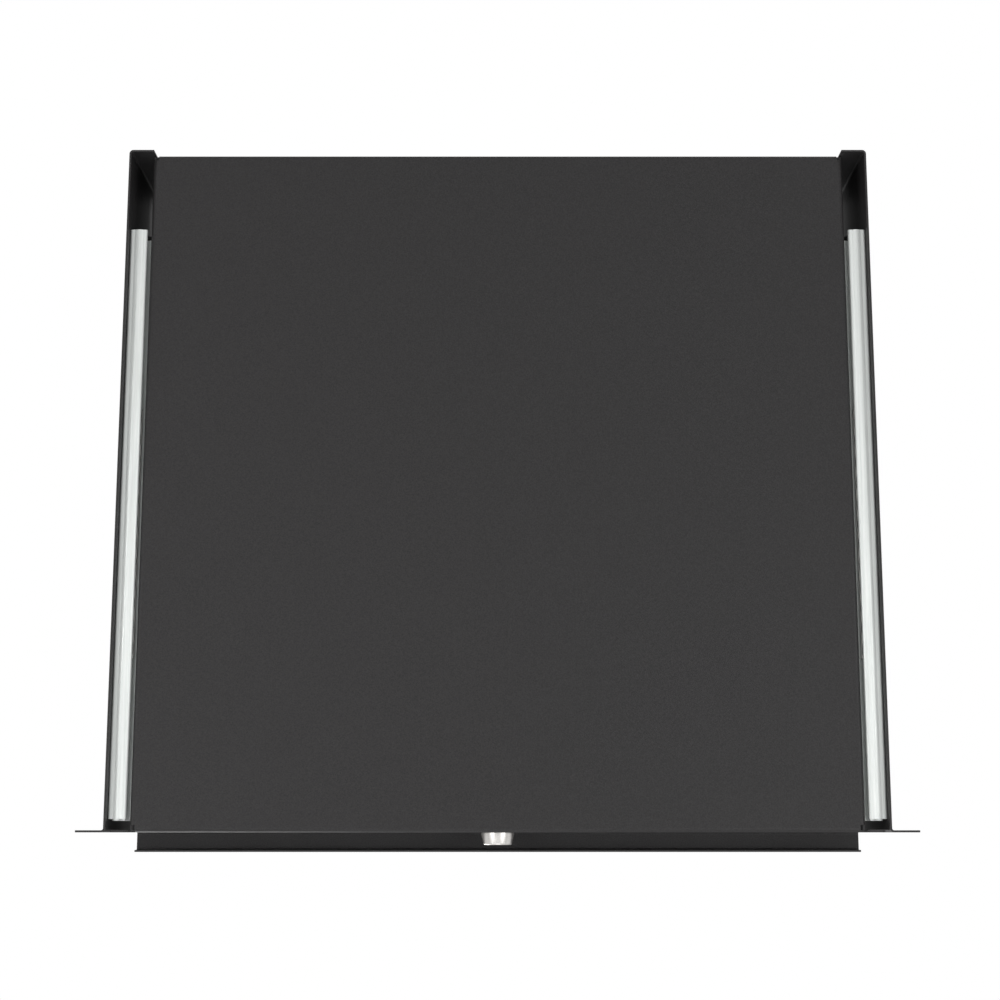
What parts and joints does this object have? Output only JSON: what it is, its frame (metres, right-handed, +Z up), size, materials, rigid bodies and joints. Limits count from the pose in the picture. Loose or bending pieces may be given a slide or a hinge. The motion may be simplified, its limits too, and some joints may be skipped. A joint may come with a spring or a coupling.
{
  "type": "sliding rack drawer",
  "caption": "Lockable two-unit rack drawer: black folded-steel tray with a finger lip, on full-extension ball slides between two side brackets with slotted rack ears.",
  "frame": {"origin": "centre of the four ear slots, on the rear face of the ears, which rests on the rack posts", "axes": "+X to the right seen from the front, +Y into the rack, +Z up; the drawer opens along -Y"},
  "size_m": [0.4826, 0.422, 0.0882],
  "materials": {
    "black_powder_coat": "fine-textured satin black powder coat",
    "zinc_rail": "bright zinc plate on cold-rolled steel, drawn lengthwise",
    "zinc_screws": "bright zinc plate",
    "cage_steel": "plain steel strip",
    "ball_steel": "polished bearing steel",
    "bumper_rubber": "matt black rubber",
    "lever_plastic": "moulded black plastic",
    "lock_chrome": "bright nickel-chrome plated die casting",
    "lock_zinc": "zinc plated steel"
  },
  "bodies": {
    "frame": {"bracket_left": "black_powder_coat", "bracket_right": "black_powder_coat", "strike_bar": "black_powder_coat", "strike_bar_screws": "zinc_screws", "outer_rail_left": "zinc_rail", "outer_rail_right": "zinc_rail", "outer_rail_screws": "zinc_screws", "rail_bumpers": "bumper_rubber"},
    "outer_cages": {"outer_cage_left": "cage_steel", "outer_cage_right": "cage_steel", "outer_balls": "ball_steel"},
    "middle_rails": {"middle_rail_left": "zinc_rail", "middle_rail_right": "zinc_rail"},
    "inner_cages": {"inner_cage_left": "cage_steel", "inner_cage_right": "cage_steel", "inner_balls": "ball_steel"},
    "drawer": {"drawer_tray": "black_powder_coat", "inner_rail_left": "zinc_rail", "inner_rail_right": "zinc_rail", "inner_rail_screws": "zinc_screws", "release_lever_pins": "zinc_screws", "lock_housing": "lock_chrome", "lock_nut": "lock_zinc"},
    "lock_core": {"lock_plug": "lock_chrome", "lock_cam": "lock_zinc", "lock_cam_screw": "zinc_screws"},
    "left_lever": {"release_lever_left": "lever_plastic"},
    "right_lever": {"release_lever_right": "lever_plastic"}
  },
  "joints": [
    {"name": "drawer_slide", "type": "slide", "parent": "frame", "child": "drawer", "axis": [0, -1, 0], "range_m": [0, 0.35]},
    {"name": "middle_slide", "type": "slide", "parent": "frame", "child": "middle_rails", "axis": [0, -1, 0], "range_m": [0, 0.175]},
    {"name": "outer_cage_roll", "type": "slide", "parent": "frame", "child": "outer_cages", "axis": [0, -1, 0], "range_m": [0, 0.0875]},
    {"name": "inner_cage_roll", "type": "slide", "parent": "frame", "child": "inner_cages", "axis": [0, -1, 0], "range_m": [0, 0.2625]},
    {"name": "lock_turn", "type": "hinge", "parent": "drawer", "child": "lock_core", "pos_m": [0, 0.0157, 0.01395], "axis": [0, 1, 0], "range_deg": [0, 90]},
    {"name": "left_lever_tilt", "type": "hinge", "parent": "drawer", "child": "left_lever", "pos_m": [-0.2135, 0.12, -0.01655], "axis": [-1, 0, 0], "range_deg": [0, 6], "stiffness_Nm_per_rad": 0.05, "springref_deg": -11.46},
    {"name": "right_lever_tilt", "type": "hinge", "parent": "drawer", "child": "right_lever", "pos_m": [0.2135, 0.12, -0.01655], "axis": [1, 0, 0], "range_deg": [0, 6], "stiffness_Nm_per_rad": 0.05, "springref_deg": -11.46}
  ],
  "couplings": [
    {"joint": "middle_slide", "follows": "drawer_slide", "ratio": 0.5},
    {"joint": "outer_cage_roll", "follows": "drawer_slide", "ratio": 0.25},
    {"joint": "inner_cage_roll", "follows": "drawer_slide", "ratio": 0.75}
  ]
}
